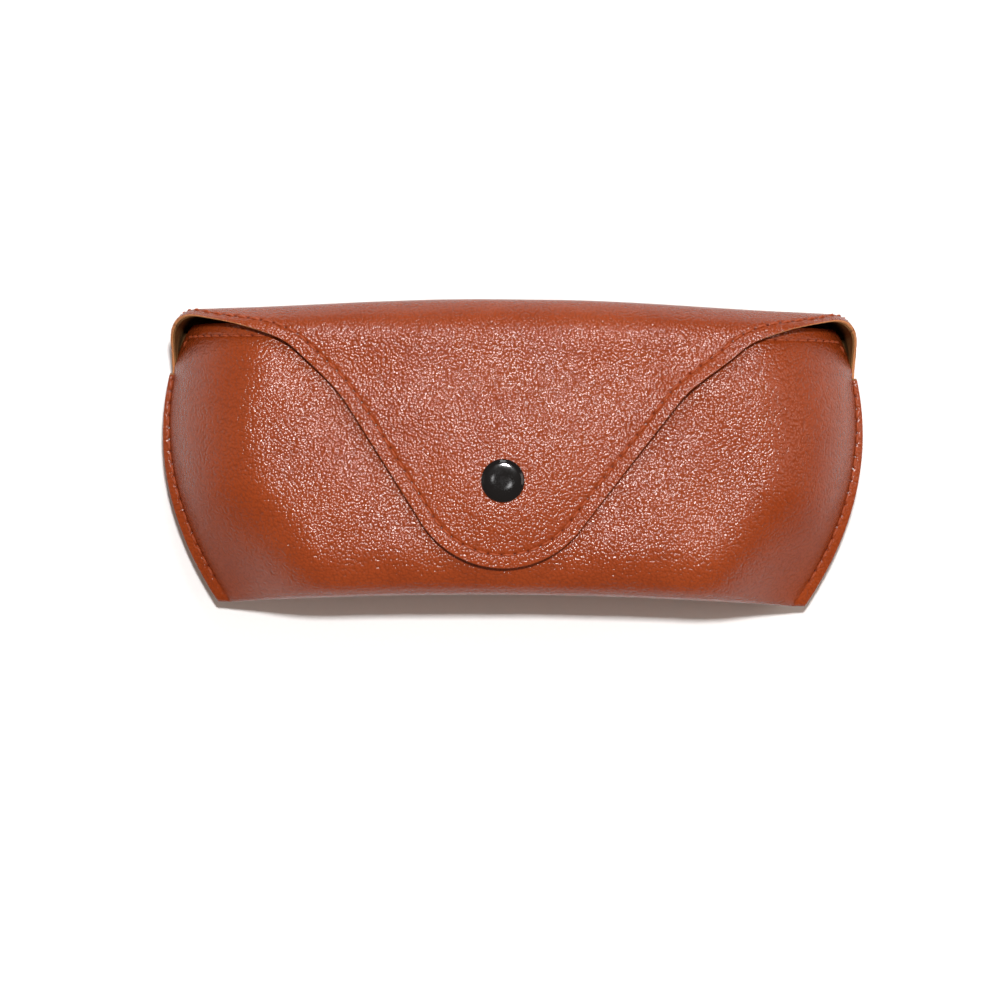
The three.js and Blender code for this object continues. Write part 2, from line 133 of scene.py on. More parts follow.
CAP_CROWN = 0.25
CAP_CROWN_POWER = 3.0
POST_RADIUS = 1.0
HOLE_RADIUS = 1.35
SOCKET_RADIUS = 4.6
SOCKET_MOUTH_RADIUS = 2.7
STUD_RADIUS = 4.2

BACK_LENGTH = BAND_Y - REAR_RADIUS - NOTCH_Y
REAR_END = BACK_LENGTH + REAR_RADIUS * PI / 2
BAND_END = REAR_END + HOOD_Z - REAR_RADIUS - TOP_RADIUS
TOP_END = BAND_END + TOP_RADIUS * PI / 2
TOP_END_Y = BAND_Y - TOP_RADIUS
FLAT_ORIGIN = TOP_END + TOP_END_Y  # a point of the sheet at this length less y lies at y in the flat

# Sewing
STITCH_INSET = 3.1
HEM_END_X = 77.2
FLAP_PITCH = 3.1
SEAM_PITCH = 2.85
SEAM_STITCH_OFFSET = 0.3
SEAM_ROW_START = 5.6  # above the bottom corner
SEAM_GROOVE_DEPTH = 0.14
MOUTH_ROW_REACH = 0.9985  # the share of the half width that the mouth's stitches cover
THREAD_RADIUS = 0.27
THREAD_PLY = 0.16  # how far the two plies stand out, as a share of the thread's radius
THREAD_TWIST = 2.6 * PI  # the plies' turn along one stitch
STITCH_SHARE = 0.84  # of the pitch that a stitch covers
STITCH_DIVE = -0.5  # heights of a stitch's ends and of its middle over the leather
STITCH_RISE = 0.22
GROOVE_DEPTH = 0.2
GROOVE_HALF_WIDTH = 0.42
HOLE_DEPTH = 0.45
NEEDLE_RADIUS = 0.36
GROOVE_SHADE = 0.18  # painted shade in the stitch channel, as a share of a needle hole's painted shade
EDGE_ROUND = 0.24  # radius of the leather's cut edges
SKIVE = 0.15  # how much thinner the leather is at its free edge
SKIVE_WIDTH = 2.5

# Mesh density
OUTLINE_STEP = 0.3
FLAP_STEP = 0.36
FLAP_LINING_STEP = 0.9
EDGE_OFFSETS = np.array([0, 0.06, 0.15, 0.35, 0.8, 1.4, 2.0, 2.4, 2.7, 2.9, 3.1, 3.3, 3.5, 3.8, 4.3, 5, 6])
FLANGE_STATIONS = 1 + np.array([0.08, 0.16, 0.25, 0.35, 0.48, 0.6, 0.72, 0.82, 0.9, 0.95, 0.98, 1])
FRONT_ROWS = 75
BACK_ROWS = 33
BACK_ROLL_ROWS = 21
HOOD_ROWS = 60
HOOD_STATIONS = 60
THREAD_SIDES = 10
THREAD_STEPS = 14
TURN_SIDES = 96
BLOCK = 4096  # points measured at a time
NUDGE = 0.0005  # the step over which the front panel's slopes are measured


# ---- Small maths ----

def clamp01(value):
    return np.clip(value, 0.0, 1.0)


def lerp(low, high, share):
    return low + (high - low) * share


def smoothstep(value, low, high):
    share = clamp01((value - low) / (high - low))
    return share * share * (3 - 2 * share)


def roll_off(position, start, power=2.0):
    """A quarter ellipse or a boxier curve: 1 up to start, falling to 0 at position 1."""
    along = clamp01((np.abs(position) - start) / (1 - start))
    return (1 - along ** power) ** (1 / power)


def points(x, y, z):
    return np.stack(np.broadcast_arrays(x, y, z), axis=-1).astype(float)


def unit(vectors):
    return vectors / np.maximum(np.linalg.norm(vectors, axis=-1, keepdims=True), 1e-12)


def nearest_squared(flat, others):
    """Each point's squared distance from the nearest of some others."""
    near = np.empty(len(flat))
    for start in range(0, len(flat), BLOCK):
        away = flat[start:start + BLOCK, None, :] - others[None, :, :]
        near[start:start + BLOCK] = (away ** 2).sum(-1).min(1)
    return near


def lengths_along(path):
    return np.concatenate([[0], np.cumsum(np.linalg.norm(np.diff(path, axis=0), axis=1))])


def sample(values, lengths, wanted):
    """Rows of values at the wanted lengths along a path."""
    return np.stack([np.interp(wanted, lengths, column) for column in values.T], axis=-1)


# ---- Pouch surfaces; inset is the depth below the leather's outer face ----

def edge_half_width(y):
    along = (y - WIDEST_Y) / (CORNER_Y - WIDEST_Y)
    return HALF_WIDTH - (HALF_WIDTH - CORNER_HALF_WIDTH) * along ** 2


def seam_allowance(y):
    return lerp(SEAM_ALLOWANCE_BOTTOM, SEAM_ALLOWANCE_TOP, clamp01((y - CORNER_Y) / (NOTCH_Y - CORNER_Y)))


def root_half_width(y):
    setback = RIM_SETBACK * smoothstep(y, NOTCH_Y - 0.4, NOTCH_Y + 2)
    return edge_half_width(y) - seam_allowance(y) - setback


def fold_y(a):
    return lerp(FOLD_Y, CORNER_Y, np.minimum(1, np.abs(a)) ** 2)


def middle_z(a):
    return lerp(FOLD_Z, SEAM_Z, np.minimum(1, np.abs(a)) ** 2)


def rim_y(a):
    height = roll_off(np.minimum(1, np.abs(a)), FRONT_ROLL_START, FRONT_ROLL_POWER)
    return RIM_Y - (RIM_Y - RIM_END_Y) * (1 - np.minimum(1, height / RIM_DROP)) ** 2


def pouch_x(a, y, inset):
    """a runs from -1 to 1 between the seams, and to 2 across the seam allowance."""
    across = np.minimum(1, np.abs(a))
    flange = np.maximum(0, np.abs(a) - 1)
    wall = across * root_half_width(y) - inset * across ** 8
    return np.sign(a) * (wall + flange * (seam_allowance(y) + inset))


def seam_opening(y, a, inset):
    past = clamp01((y - fold_y(a) - inset) / SEAM_HALF)
    return (SEAM_HALF - inset) * np.sqrt(1 - (1 - past) ** 2)


def bottom_roll(y, a, inset, depth, power, chamfer=0.0):
    """A sloping stretch, and then a tighter turn down to the fold."""
    short = np.maximum(0, 1 - (y - fold_y(a) - inset) / (depth - inset))
    return roll_off(short, 0, power) * (1 - chamfer * short ** 2)


def side_roll(a):
    """The front's height across its width, ending at a slope instead of upright."""
    along = clamp01((np.abs(a) - FRONT_ROLL_START) / (1 - FRONT_ROLL_START))
    end = roll_off(FRONT_ROLL_SHARE, 0, FRONT_ROLL_POWER)
    return (roll_off(along * FRONT_ROLL_SHARE, 0, FRONT_ROLL_POWER) - end) / (1 - end)


def corner_flatness(a, y):
    """The pouch fills its bottom corners less than its middle."""
    low = 1 - smoothstep(y - fold_y(a), 0, CORNER_REACH)
    return 1 - CORNER_FLATTENING * low * smoothstep(np.abs(a), CORNER_START, 1)


def flange_droop(a, y):
    return FLANGE_SLOPE * np.maximum(0, np.abs(a) - 1) * seam_allowance(y)


def front_point(a, y, inset):
    base = middle_z(a) + seam_opening(y, a, inset)
    droop = RIM_DROOP * smoothstep(y, RIM_DROOP_START_Y, RIM_Y)
    crown = FRONT_Z - inset - FRONT_CROWN * clamp01(np.abs(a)) ** 2 - droop
    bottom = bottom_roll(y, a, inset, FRONT_ROLL, BOTTOM_ROLL_POWER, BOTTOM_CHAMFER)
    opening = side_roll(a) * bottom * corner_flatness(a, y)
    return points(pouch_x(a, y, inset), y, base + (crown - base) * opening - flange_droop(a, y))


def back_point(a, y, inset):
    base = middle_z(a) - seam_opening(y, a, inset)
    bottom = bottom_roll(y, a, inset, BACK_ROLL, 2.0)
    opening = roll_off(np.minimum(1, np.abs(a)), BACK_ROLL_START) * bottom
    return points(pouch_x(a, y, inset), y, base + (inset - base) * opening - flange_droop(a, y))


# ---- Hood and flap surfaces, by x and the length along the sheet from the notch line on the back ----

def hood_path(length, inset):
    rear = (length - BACK_LENGTH) / REAR_RADIUS
    top = (length - BAND_END) / TOP_RADIUS
    rear_radius = REAR_RADIUS - inset
    top_radius = TOP_RADIUS - inset
    stretches = [length < BACK_LENGTH, length < REAR_END, length < BAND_END, length < TOP_END]
    y = np.select(stretches, [
        NOTCH_Y + length,
        BAND_Y - REAR_RADIUS + rear_radius * np.sin(rear),
        BAND_Y - inset,
        TOP_END_Y + top_radius * np.cos(top),
    ], TOP_END_Y - (length - TOP_END))
    z = np.select(stretches, [
        inset + 0 * length,
        REAR_RADIUS - rear_radius * np.cos(rear),
        REAR_RADIUS + length - REAR_END,
        HOOD_Z - TOP_RADIUS + top_radius * np.sin(top),
    ], HOOD_Z - inset)
    return y, z


def band_lean(a, z):
    """How far the band leans in over the mouth at a height, most of all towards its ends."""
    return lerp(BAND_LEAN_MIDDLE, BAND_LEAN_END, smoothstep(a, 0.1, 0.8)) * smoothstep(z, 8, 34)


def pillow_point(x, length, inset):
    """A pillow's section swept round the mouth: the back's roll, then the band's, then the top's."""
    a = np.minimum(1, np.abs(x) / NOTCH_HALF_WIDTH)
    pole_z = SEAM_Z - SEAM_HALF + inset
    path_y, path_z = hood_path(length, inset)
    outer_y, outer_z = hood_path(length, 0)
    turn = np.arctan2(outer_z - (SEAM_Z - SEAM_HALF), outer_y - NOTCH_Y)
    facing_band = smoothstep(turn, -PI / 2, -0.15)
    facing_top = smoothstep(turn, 0.2, 1.3)
    roll_start = lerp(lerp(BACK_ROLL_START, HOOD_ROLL_START, facing_band), TOP_ROLL_START, facing_top)
    arch = lerp(BAND_ARCH * facing_band, TOP_ARCH, facing_top)
    power = lerp(2.0, HOOD_ROLL_POWER, facing_band)
    scale = roll_off(a, roll_start, power) * (1 - arch * a ** 2)
    y = NOTCH_Y + (path_y - NOTCH_Y) * scale
    z = pole_z + (path_z - pole_z) * scale
    y = y - band_lean(a, z) * smoothstep(path_y, 29, 35)
    flare = WING_FLARE * smoothstep(a, 0.88, 1) * smoothstep(z, 9, 24)
    return points(np.sign(x) * (a * NOTCH_HALF_WIDTH + flare - inset * a ** 8), y, z)


def hood_point(x, length, inset):
    a = x / NOTCH_HALF_WIDTH
    join = back_point(a, NOTCH_Y, inset) - pillow_point(x, 0 * length, inset)
    fade = 1 - smoothstep(length, 0, HOOD_JOIN_LENGTH)
    return pillow_point(x, length, inset) + join * fade[..., None]


def flap_lift(x, y, edge_distance):
    """Height of the flap's lining over the front: held up by the snap, lower towards the edge."""
    from_snap = np.hypot(x - SNAP_X, y - SNAP_Y)
    freed = smoothstep(from_snap, SOCKET_RADIUS + 1, FLAP_HOLD_REACH)
    middle = lerp(FLAP_LIFT_SNAP, FLAP_LIFT_MIDDLE, freed)
    lift = lerp(FLAP_LIFT_EDGE, middle, smoothstep(edge_distance, -2, 14))
    return lerp(lift, FLAP_LIFT_TOP, smoothstep(y, 6, TOP_END_Y))


def edge_curl(x, y, distance):
    """The flap's right edge curls up a little between its tip and its shoulder."""
    begun = smoothstep(x, *CURL_START_X) * smoothstep(y, *CURL_START_Y)
    along = begun * (1 - smoothstep(y, *CURL_END_Y))
    return EDGE_CURL * along * (1 - smoothstep(distance, 0, CURL_WIDTH))


def flap_point(x, length, inset):
    """The flap leaves the hood's shape and follows the front panel at the height that the snap needs."""
    point = hood_point(x, length, inset)
    y = point[..., 1]
    distance = edge_distance(x, length)
    lift = flap_lift(x, y, distance)
    front = front_point(x / root_half_width(y), np.maximum(y, TIP_SUPPORT_Y), 0)[..., 2]
    hang = TIP_HANG * np.maximum(0, TIP_SUPPORT_Y - y) ** 2
    draped = front - hang + lift + LINING_IN - inset
    point[..., 2] = lerp(draped, point[..., 2], smoothstep(y, 8, TOP_END_Y)) + edge_curl(x, y, distance)
    return point


# ---- Flap outline in the flat ----

def bezier_points(p0, p1, p2, p3, count):
    t = np.linspace(0, 1, count)[:, None]
    p0, p1, p2, p3 = (np.array(p, float) for p in (p0, p1, p2, p3))
    return (1 - t) ** 3 * p0 + 3 * (1 - t) ** 2 * t * p1 + 3 * (1 - t) * t ** 2 * p2 + t ** 3 * p3


def resample(path, step):
    """Points at equal steps along a polyline."""
    lengths = lengths_along(path)
    return sample(path, lengths, np.linspace(0, lengths[-1], max(2, round(lengths[-1] / step) + 1)))


def outline_side(side, tip_x):
    straight_end, flare_end = side
    sx, sy = straight_end
    fx, fy = flare_end
    angle = np.linspace(-PI / 2, -PI / 2 + TIP_SWEEP, 60)
    centre = (tip_x, TIP_Y + TIP_RADIUS)
    tip = centre + TIP_RADIUS * np.stack([np.cos(angle), np.sin(angle)], axis=1)
    straight = np.linspace(tip[-1], straight_end, 40)[1:]
    flare = bezier_points(straight_end, (sx + 3.2, sy + 4.6), (fx - 4.0, fy - 3.9), flare_end, 60)[1:]
    wing = bezier_points(flare_end, (fx + 8, fy + 7.8), SHOULDER_PULL, SHOULDER_END, 160)[1:]
    return np.concatenate([tip, straight, flare, wing])


def make_outline():
    left = outline_side(LEFT_SIDE, -TIP_X) * (-1, 1)
    right = outline_side(RIGHT_SIDE, TIP_X)
    return resample(np.concatenate([left[::-1], right[1:]]), OUTLINE_STEP)


OUTLINE = make_outline()


def outline_length(x):
    """Length along the sheet at which the outline cuts it, for a given x."""
    return FLAT_ORIGIN - np.interp(x, OUTLINE[:, 0], OUTLINE[:, 1])


def edge_distance(x, length):
    """Distance in the flat from the sheet's free edge."""
    flat = np.stack(np.broadcast_arrays(x, FLAT_ORIGIN - length), axis=-1).reshape(-1, 2)
    return np.sqrt(nearest_squared(flat, OUTLINE[::2])).reshape(np.broadcast(x, length).shape)


# ---- Softness: the slight unevenness of a hand-filled leather pouch ----

WAVES = (  # wavelengths along x and y, phase, height; all mm but the phase
    (61, 47, 0.6, 0.20),
    (-37, 58, 2.1, 0.14),
    (26, -39, 4.0, 0.09),
    (17, 23, 5.2, 0.05),
)


def soften(position):
    """Moves points up and down by a smooth uneven field, none of it at the floor or at the snap."""
    x, y, z = position[..., 0], position[..., 1], position[..., 2]
    height = sum(size * np.sin(2 * PI * (x / wx + y / wy) + phase) for wx, wy, phase, size in WAVES)
    from_snap = np.hypot(x - SNAP_X, y - SNAP_Y)
    weight = smoothstep(z, 12, 30) * smoothstep(from_snap, CAP_RADIUS, CAP_RADIUS + 14)
    moved = position.copy()
    moved[..., 2] += height * weight
    return moved


# ---- Edges and grooves, as depths added to the sheet's outer face ----

def rounded_edge(distance):
    """How far a cut edge has fallen away at a distance from it."""
    inside = clamp01(1 - distance / EDGE_ROUND)
    return EDGE_ROUND * (1 - np.sqrt(1 - inside ** 2))


def skived(x, length, inset):
    """An inner face's depth, less towards the free edge."""
    return inset - SKIVE * (1 - smoothstep(edge_distance(x, length), 0, SKIVE_WIDTH))


def stitch_groove(distance):
    """The channel that a row of stitches pulls into the leather."""
    return GROOVE_DEPTH * np.exp(-((distance - STITCH_INSET) / GROOVE_HALF_WIDTH) ** 2)


# ---- Rows of stitches: a line on a surface, its normals and the stitches' pitch ----

def stitch_starts(line, pitch):
    """Lengths along a line of points, and those at which its stitches start."""
    lengths = lengths_along(line)
    count = int(lengths[-1] / pitch)
    return lengths, (lengths[-1] - count * pitch) / 2 + np.arange(count) * pitch


def needle_holes(row):
    """The points where a row's thread goes into the leather."""
    line, _, pitch = row
    lengths, starts = stitch_starts(line, pitch)
    return sample(line, lengths, np.append(starts, starts[-1] + pitch))


def hole_share(position, holes):
    """How much each point lies in a needle hole, from 0 to 1."""
    near = nearest_squared(position.reshape(-1, 3), holes)
    return np.exp(-near / NEEDLE_RADIUS ** 2).reshape(position.shape[:-1])


def sheet_normals(surface, u, v, step=0.05):
    """Outward normals of a surface given as a function of two coordinates."""
    across = surface(u + step, v) - surface(u - step, v)
    along = surface(u, v + step) - surface(u, v - step)
    return unit(np.cross(across, along))


def hem_places():
    """The free edge's row of stitches by x and length, moved in from the outline."""
    along = unit(np.gradient(OUTLINE, axis=0))
    moved = OUTLINE + np.stack([-along[:, 1], along[:, 0]], axis=-1) * STITCH_INSET
    flat = moved[np.abs(moved[:, 0]) < HEM_END_X]
    return flat[:, 0], FLAT_ORIGIN - flat[:, 1]


def hem_row():
    x, length = hem_places()

    def surface(u, v):
        return flap_point(u, v, GROOVE_DEPTH)
    return surface(x, length), -sheet_normals(surface, x, length), FLAP_PITCH


def mouth_row():
    """Follows the mouth rim, moved in along the front panel by steps across its surface."""
    a = MOUTH_ROW_REACH * np.sin(np.linspace(-PI / 2, PI / 2, 900))
    y = rim_y(a)

    def surface(u, v):
        return front_point(u, v, GROOVE_DEPTH)
    rim = surface(a, y)
    for _ in range(4):
        normal = sheet_normals(surface, a, y, NUDGE)
        inwards = unit(np.cross(normal, unit(np.gradient(rim, axis=0))))
        inwards *= -np.sign(inwards[..., 1:2])
        a, y = step_on_surface(surface, a, y, inwards * STITCH_INSET / 4)
    normals = sheet_normals(surface, a, y, NUDGE)
    return surface(a, y), normals * np.sign(normals[..., 2:3]), FLAP_PITCH


def step_on_surface(surface, a, y, move):
    """The coordinates of the points reached by a small move across a surface."""
    du = (surface(a + NUDGE, y) - surface(a - NUDGE, y)) / (2 * NUDGE)
    dv = (surface(a, y + NUDGE) - surface(a, y - NUDGE)) / (2 * NUDGE)
    uu, uv, vv = (du * du).sum(-1), (du * dv).sum(-1), (dv * dv).sum(-1)
    mu, mv = (move * du).sum(-1), (move * dv).sum(-1)
    bottom = uu * vv - uv ** 2
    return a + (mu * vv - mv * uv) / bottom, y + (mv * uu - mu * uv) / bottom


def seam_rows(side):
    """A side seam's row on the front layer, and the undersides of its stitches on the back layer."""
    y = np.linspace(CORNER_Y + SEAM_ROW_START, NOTCH_Y - 1, 200)
    x = side * (edge_half_width(y) - seam_allowance(y) + SEAM_STITCH_OFFSET)
    droop = FLANGE_SLOPE * SEAM_STITCH_OFFSET
    return [(points(x, y, SEAM_Z - droop + up * (SEAM_HALF - 0.1)), points(0 * x, 0 * y, up), SEAM_PITCH)
            for up in (1, -1)]


HEM_ROW = hem_row()
MOUTH_ROW = mouth_row()
SEAM_ROWS = [*seam_rows(-1), *seam_rows(1)]


# ---- Mesh making ----

def new_object(name, vertices, faces, materials, face_materials=None, holes=None):
    """A smooth mesh from points in mm; its textures use the rest position and the painted shade of the
    needle holes.
    """
    mesh = bpy.data.meshes.new(name)
    mesh.from_pydata((np.asarray(vertices) * MM).tolist(), [], faces)
    for material in materials:
        mesh.materials.append(material)
    if face_materials is not None:
        mesh.polygons.foreach_set("material_index", np.asarray(face_materials, np.int32))
    if holes is not None:
        attribute = mesh.attributes.new("needle_hole", "FLOAT", "POINT")
        attribute.data.foreach_set("value", holes.astype(np.float32))
    clean_mesh(mesh)
    mesh.polygons.foreach_set("use_smooth", np.ones(len(mesh.polygons), bool))
    keep_rest(mesh)
    obj = bpy.data.objects.new(name, mesh)
    bpy.context.scene.collection.objects.link(obj)
    return obj


def clean_mesh(mesh):
    """Joins equal corners, which also drops collapsed faces."""
    work = bmesh.new()
    work.from_mesh(mesh)
    bmesh.ops.remove_doubles(work, verts=work.verts, dist=2e-6)
    bmesh.ops.recalc_face_normals(work, faces=work.faces)
    work.to_mesh(mesh)
    work.free()


def keep_rest(mesh):
    co = np.empty(len(mesh.vertices) * 3, np.float32)
    mesh.vertices.foreach_get("co", co)
    rest = mesh.attributes.new("rest_mm", "FLOAT_VECTOR", "POINT")
    rest.data.foreach_set("vector", co / MM)


def grid_quads(count_i, count_j, start=0):
    i, j = np.meshgrid(np.arange(count_i - 1), np.arange(count_j - 1), indexing="ij")
    corner = start + i * count_j + j
    return np.stack([corner, corner + count_j, corner + count_j + 1, corner + 1], axis=-1).reshape(-1, 4)


def wall_quads(ring, inner_start):
    """Faces between the outer sheet's border and the inner sheet's."""
    following = np.roll(ring, -1)
    return np.stack([ring, ring + inner_start, following + inner_start, following], axis=-1)


def border(count_i, count_j):
    index = np.arange(count_i * count_j).reshape(count_i, count_j)
    return np.concatenate([index[:-1, 0], index[-1, :-1], index[:0:-1, -1], index[0, :0:-1]])


def sheet_object(name, outer, inner, materials, holes=None):
    """A closed sheet between two grids of points, with materials for outside, inside and edge."""
    count_i, count_j = outer.shape[:2]
    total = count_i * count_j
    parts = (grid_quads(count_i, count_j),
             grid_quads(count_i, count_j, total)[:, ::-1],
             wall_quads(border(count_i, count_j), total))
    kinds = np.repeat((0, 1, 2), [len(part) for part in parts])
    vertices = soften(np.concatenate([outer.reshape(-1, 3), inner.reshape(-1, 3)]))
    if holes is not None:
        holes = np.concatenate([holes.ravel(), np.zeros(total)])
    return new_object(name, vertices, np.concatenate(parts).tolist(), materials, kinds, holes)


# ---- Stations ----

def mirrored(stations):
    return np.concatenate([-stations[:0:-1], stations])


def half_stations(last, flat_step, roll_steps):
    """Shares of the half width: even over the flat middle, closer and closer towards the roll's end."""
    flat = np.arange(0, FRONT_ROLL_START, flat_step)
    roll = FRONT_ROLL_START + (last - FRONT_ROLL_START) * np.sin(np.linspace(0, PI / 2, roll_steps + 1))
    return np.concatenate([flat, roll])


# ---- Pouch sheet: mouth rim, front, bottom fold and back up to the notch line ----

def bottom_rows():
    """Shares of the bottom roll's depth down to the fold: even at first, then even in height."""
    sloping = np.linspace(1, 0.12, 26)[1:]
    height = np.linspace(0.94, 0, 16)
    turn = 1 - (1 - height ** BOTTOM_ROLL_POWER) ** (1 / BOTTOM_ROLL_POWER)
    return np.concatenate([sloping, turn[turn < 0.11]])


BOTTOM_ROWS = bottom_rows()


def front_rows(a, inset):
    """Y of the front's rows from the rim down to the fold, one line for each station a."""
    start = fold_y(a)[:, None] + inset
    roll_end = fold_y(a)[:, None] + FRONT_ROLL
    rim = rim_y(a)[:, None] - EDGE_OFFSETS
    flat = lerp(rim[:, -1:], roll_end, np.linspace(0, 1, FRONT_ROWS + 1)[1:])
    bend = start + (roll_end - start) * BOTTOM_ROWS
    return np.concatenate([rim, flat, bend], axis=1)


def back_rows(a, inset):
    """Y of the back's rows from the fold up to the notch line."""
    start = fold_y(a)[:, None] + inset
    roll_end = fold_y(a)[:, None] + BACK_ROLL
    bend = start + (roll_end - start) * (1 - np.cos(np.linspace(0, PI / 2, BACK_ROLL_ROWS + 1)[1:]))
    flat = lerp(roll_end, NOTCH_Y, np.append(np.linspace(0, 0.97, BACK_ROWS + 1)[1:], (0.99, 1)))
    return np.concatenate([bend, flat], axis=1)


def rim_distance(position, a):
    """Distance of the front's points from the mouth rim's line."""
    line = front_point(a, rim_y(a), 0)
    near = [nearest_squared(row, line[max(0, i - 60):i + 61]) for i, row in enumerate(position)]
    return np.sqrt(near)


def pouch_grid(a, inset):
    front = front_point(a[:, None], front_rows(a, inset), inset)
    back = back_point(a[:, None], back_rows(a, inset), inset)
    return np.concatenate([front, back], axis=1)


def pouch_face(a):
    """The outer grid with rounded edges, sewn channels and needle holes, and the shares of painted shade in
    the holes and channels.
    """
    column = a[:, None]
    front_y = front_rows(a, 0)
    plain = front_point(column, front_y, 0)
    distance = rim_distance(plain, a)
    groove = stitch_groove(distance) * (1 - smoothstep(np.abs(column), 1, 1.02)) * roll_off(column, 0.7)
    holes = hole_share(plain, np.concatenate([needle_holes(row) for row in (MOUTH_ROW, *SEAM_ROWS)]))
    depth = rounded_edge(distance) + groove + flange_depth(column, front_y) + HOLE_DEPTH * holes
    front = front_point(column, front_y, depth)
    back = back_point(column, back_rows(a, 0), 0)
    # Painted shade: the stitch channel gets a share of the needle holes' painted shade.
    holes = np.maximum(holes, GROOVE_SHADE * groove / GROOVE_DEPTH)
    holes = np.concatenate([holes, np.zeros(back.shape[:2])], axis=1)
    return np.concatenate([front, back], axis=1), holes


def flange_depth(a, y):
    """The seam allowance is pressed down along its stitches and rounded at its outer edge."""
    flange = np.maximum(0, np.abs(a) - 1) * seam_allowance(y)
    outer = seam_allowance(y) - flange
    on_flange = np.abs(a) > 1
    line = np.exp(-((flange - SEAM_STITCH_OFFSET) / 0.45) ** 2)
    return np.where(on_flange, rounded_edge(outer) + SEAM_GROOVE_DEPTH * line, 0)


def pouch_leather(looks):
    a = mirrored(np.concatenate([half_stations(1, 0.012, 56), FLANGE_STATIONS]))
    outer, holes = pouch_face(a)
    obj = sheet_object("pouch_leather", outer, pouch_grid(a, LEATHER), looks["leather"], holes)
    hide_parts("body_leather")
    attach(obj, "pouch")


def pouch_lining(looks):
    a = mirrored(half_stations(0.985, 0.02, 36))
    obj = sheet_object("pouch_lining", pouch_grid(a, LINING_OUT), pouch_grid(a, LINING_IN), looks["lining"])
    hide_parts("body_lining")
    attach(obj, "pouch")


# ---- Hood: from the notch line round the rear bend, with the wings' free edges ----

def split_length(x):
    rise = outline_length(np.sign(x) * SPLIT_END_X) - SPLIT_LENGTH
    along = clamp01((np.abs(x) - SPLIT_RISE_X) / (SPLIT_END_X - SPLIT_RISE_X))
    return np.where(np.abs(x) > SPLIT_END_X, outline_length(x), SPLIT_LENGTH + rise * along ** 2)


def sewn_face(surface, x, length, fade):
    """A sheet's outer points with rounded edge, sewn channel and needle holes, and the shares of painted
    shade in the holes and the channel.
    """
    distance = edge_distance(x, length)
    holes = hole_share(surface(x, length, 0), needle_holes(HEM_ROW)) * fade
    groove = stitch_groove(distance) * fade
    depth = rounded_edge(distance) * fade + groove + HOLE_DEPTH * holes
    # Painted shade: the stitch channel gets a share of the needle holes' painted shade.
    return surface(x, length, depth), np.maximum(holes, GROOVE_SHADE * groove / GROOVE_DEPTH)


def lining_faces(surface, x, length):
    return [surface(x, length, skived(x, length, inset)) for inset in (LINING_OUT, LINING_IN)]


def hood_places(x, trim=0.0):
    top = split_length(x)[:, None] - trim * (np.abs(x)[:, None] > SPLIT_END_X)
    share = np.concatenate([[0, 0.004], np.linspace(0.02, 0.98, HOOD_ROWS), [0.996, 1]])
    length = top * share
    return np.broadcast_to(x[:, None], length.shape), length


def hood_stations(last):
    """Shares of the half width: even over the middle, closer and closer towards the sheet's sides."""
    middle = np.linspace(0, 0.8, HOOD_STATIONS)
    turn = np.linspace(0, PI / 2, HOOD_STATIONS + 1)[1:]
    return mirrored(np.concatenate([middle, 0.8 + (last - 0.8) * np.sin(turn)]))


def bend_rear(obj):
    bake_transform(obj)


def bend_top(obj):
    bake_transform(obj)


def hood_leather(looks):
    x, length = hood_places(hood_stations(1) * NOTCH_HALF_WIDTH)
    outer, holes = sewn_face(hood_point, x, length, smoothstep(length, 6, 12))
    obj = sheet_object("hood_leather", outer, hood_point(x, length, skived(x, length, LEATHER)),
                       looks["leather"], holes)
    bend_rear(obj)
    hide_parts("band_leather")


def hood_lining(looks):
    x, length = hood_places(hood_stations(0.9995) * NOTCH_HALF_WIDTH, trim=0.12)
    obj = sheet_object("hood_lining", *lining_faces(hood_point, x, length), looks["lining"])
    bend_rear(obj)
    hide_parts("band_lining")


# ---- Flap: from the split on the band over the top bend to the free edge ----

def flap_places(step, first_offset):
    """The flap's grid by x and length: rows run along the outline, then draw level with the split."""
    inside = np.abs(OUTLINE[:, 0]) <= SPLIT_END_X
    edge = resample(OUTLINE[inside], step)
    edge[0, 0], edge[-1, 0] = -SPLIT_END_X, SPLIT_END_X
    along = unit(np.gradient(edge, axis=0))
    inwards = np.stack([-along[:, 1], along[:, 0]], axis=-1)
    offsets = EDGE_OFFSETS[EDGE_OFFSETS >= first_offset]
    to_split = FLAT_ORIGIN - split_length(edge[:, 0]) - edge[:, 1]
    narrowing = smoothstep(to_split, 0, 16)[:, None, None]
    side = edge[:, None, :] + inwards[:, None, :] * offsets[None, :, None] * narrowing
    split = np.stack([edge[:, 0], FLAT_ORIGIN - split_length(edge[:, 0])], axis=-1)
    share = np.append(np.linspace(0, 0.985, 62)[1:], (0.996, 1))
    rest = lerp(side[:, -1:, :], split[:, None, :], share[None, :, None])
    flat = np.concatenate([side, rest], axis=1)
    return flat[..., 0], FLAT_ORIGIN - flat[..., 1]


def flap_leather(looks):
    x, length = flap_places(FLAP_STEP, 0)
    outer, holes = sewn_face(flap_point, x, length, 1)
    obj = sheet_object("flap_sheet", outer, flap_point(x, length, skived(x, length, LEATHER)),
                       looks["leather"], holes)
    bend_top(obj)
    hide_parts("flap_leather")


def flap_lining(looks):
    x, length = flap_places(FLAP_LINING_STEP, 0.35)
    obj = sheet_object("flap_backing", *lining_faces(flap_point, x, length), looks["lining"])
    bend_top(obj)
    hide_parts("flap_lining")


# ---- Stitches: each one a short twisted thread that dives into the leather at both ends ----

